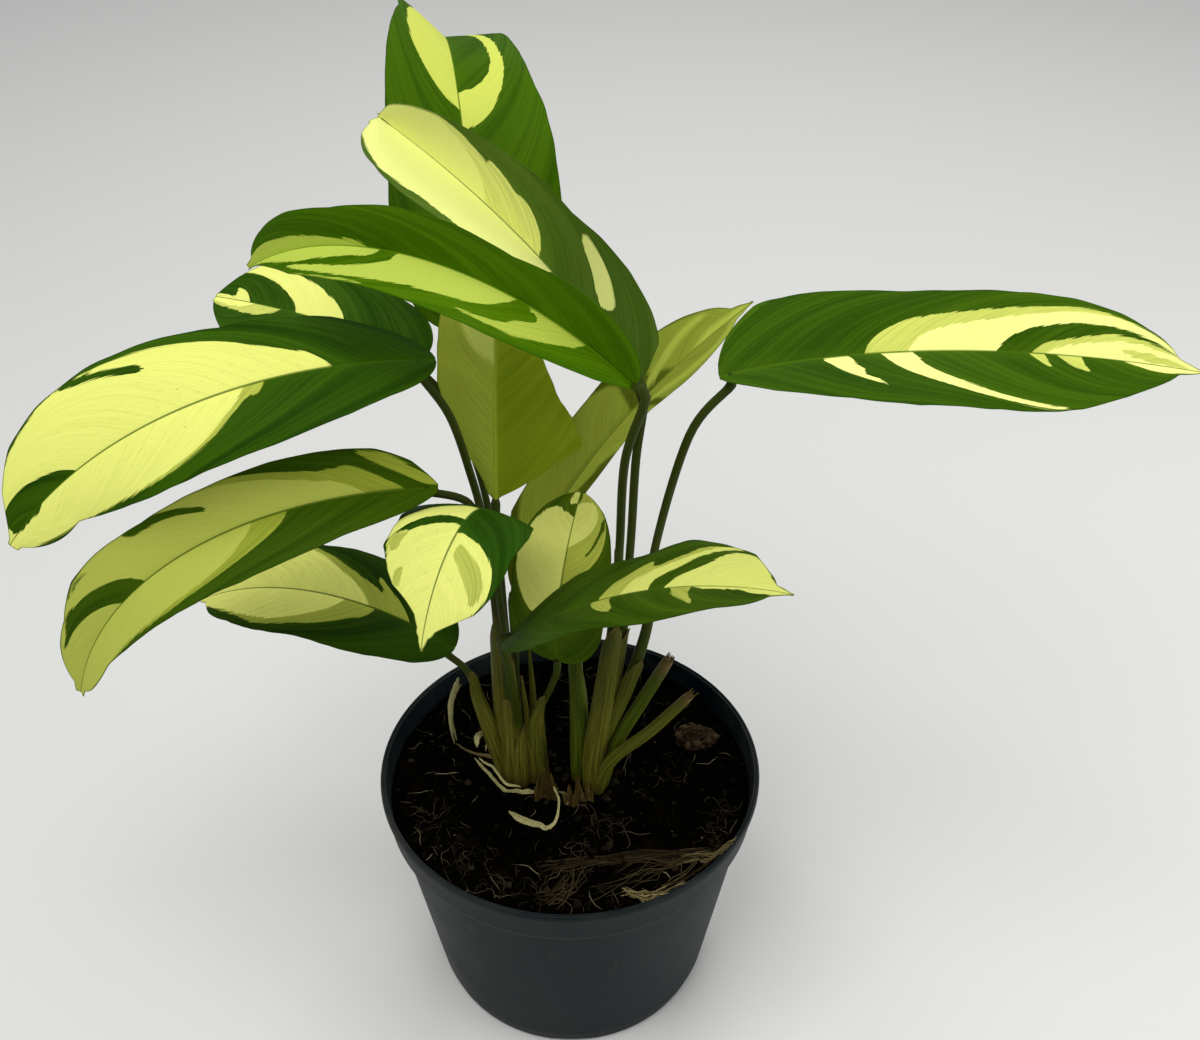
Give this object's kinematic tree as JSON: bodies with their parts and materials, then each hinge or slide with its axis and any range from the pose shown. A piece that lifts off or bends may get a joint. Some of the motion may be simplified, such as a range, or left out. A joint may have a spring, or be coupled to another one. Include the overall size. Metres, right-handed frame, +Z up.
{
  "type": "potted calathea plant",
  "caption": "Variegated calathea in a round plastic nursery pot: long oval blades striped yellow and dark green on slender stalks rising from two clumps in dark potting mix.",
  "frame": {"origin": "centre of the pot's flat underside, on the surface it stands on", "axes": "+Z up; -Y towards the viewer of the picture; +X to the viewer's right"},
  "size_m": [0.4419, 0.2556, 0.4178],
  "materials": {
    "pot_plastic": "smooth dark grey, slightly glossy moulded plastic",
    "potting_mix": "matt, crumbly, near-black damp mix with pale fibres",
    "leaf_blade": "satin leaf, dark green striped with yellow along the side veins",
    "stalk": "smooth satin olive green",
    "dry_sheath": "matt brown papery sheath",
    "dry_leaf": "matt straw-coloured dry leaf",
    "root_fibre": "matt brown fibre",
    "peat_clod": "matt dark brown fibre"
  },
  "bodies": {
    "root": {"pot": "pot_plastic", "potting_mix": "potting_mix", "leaf_top_back": "leaf_blade", "leaf_upper_pale": "leaf_blade", "leaf_upper_left": "leaf_blade", "leaf_far_left": "leaf_blade", "leaf_long_left": "leaf_blade", "leaf_second_left": "leaf_blade", "leaf_low_left": "leaf_blade", "leaf_front_small": "leaf_blade", "leaf_low_right": "leaf_blade", "leaf_inner_furled": "leaf_blade", "leaf_tall_under": "leaf_blade", "leaf_middle_under": "leaf_blade", "leaf_long_right": "leaf_blade", "stalks_left": "stalk", "stalks_right": "stalk", "bract_left": "dry_sheath", "bract_right": "dry_sheath", "dry_strip_standing": "dry_leaf", "dry_strip_looped": "dry_leaf", "dry_strip_curled": "dry_leaf", "root_mat": "root_fibre", "fibre_clod": "peat_clod"}
  },
  "joints": []
}
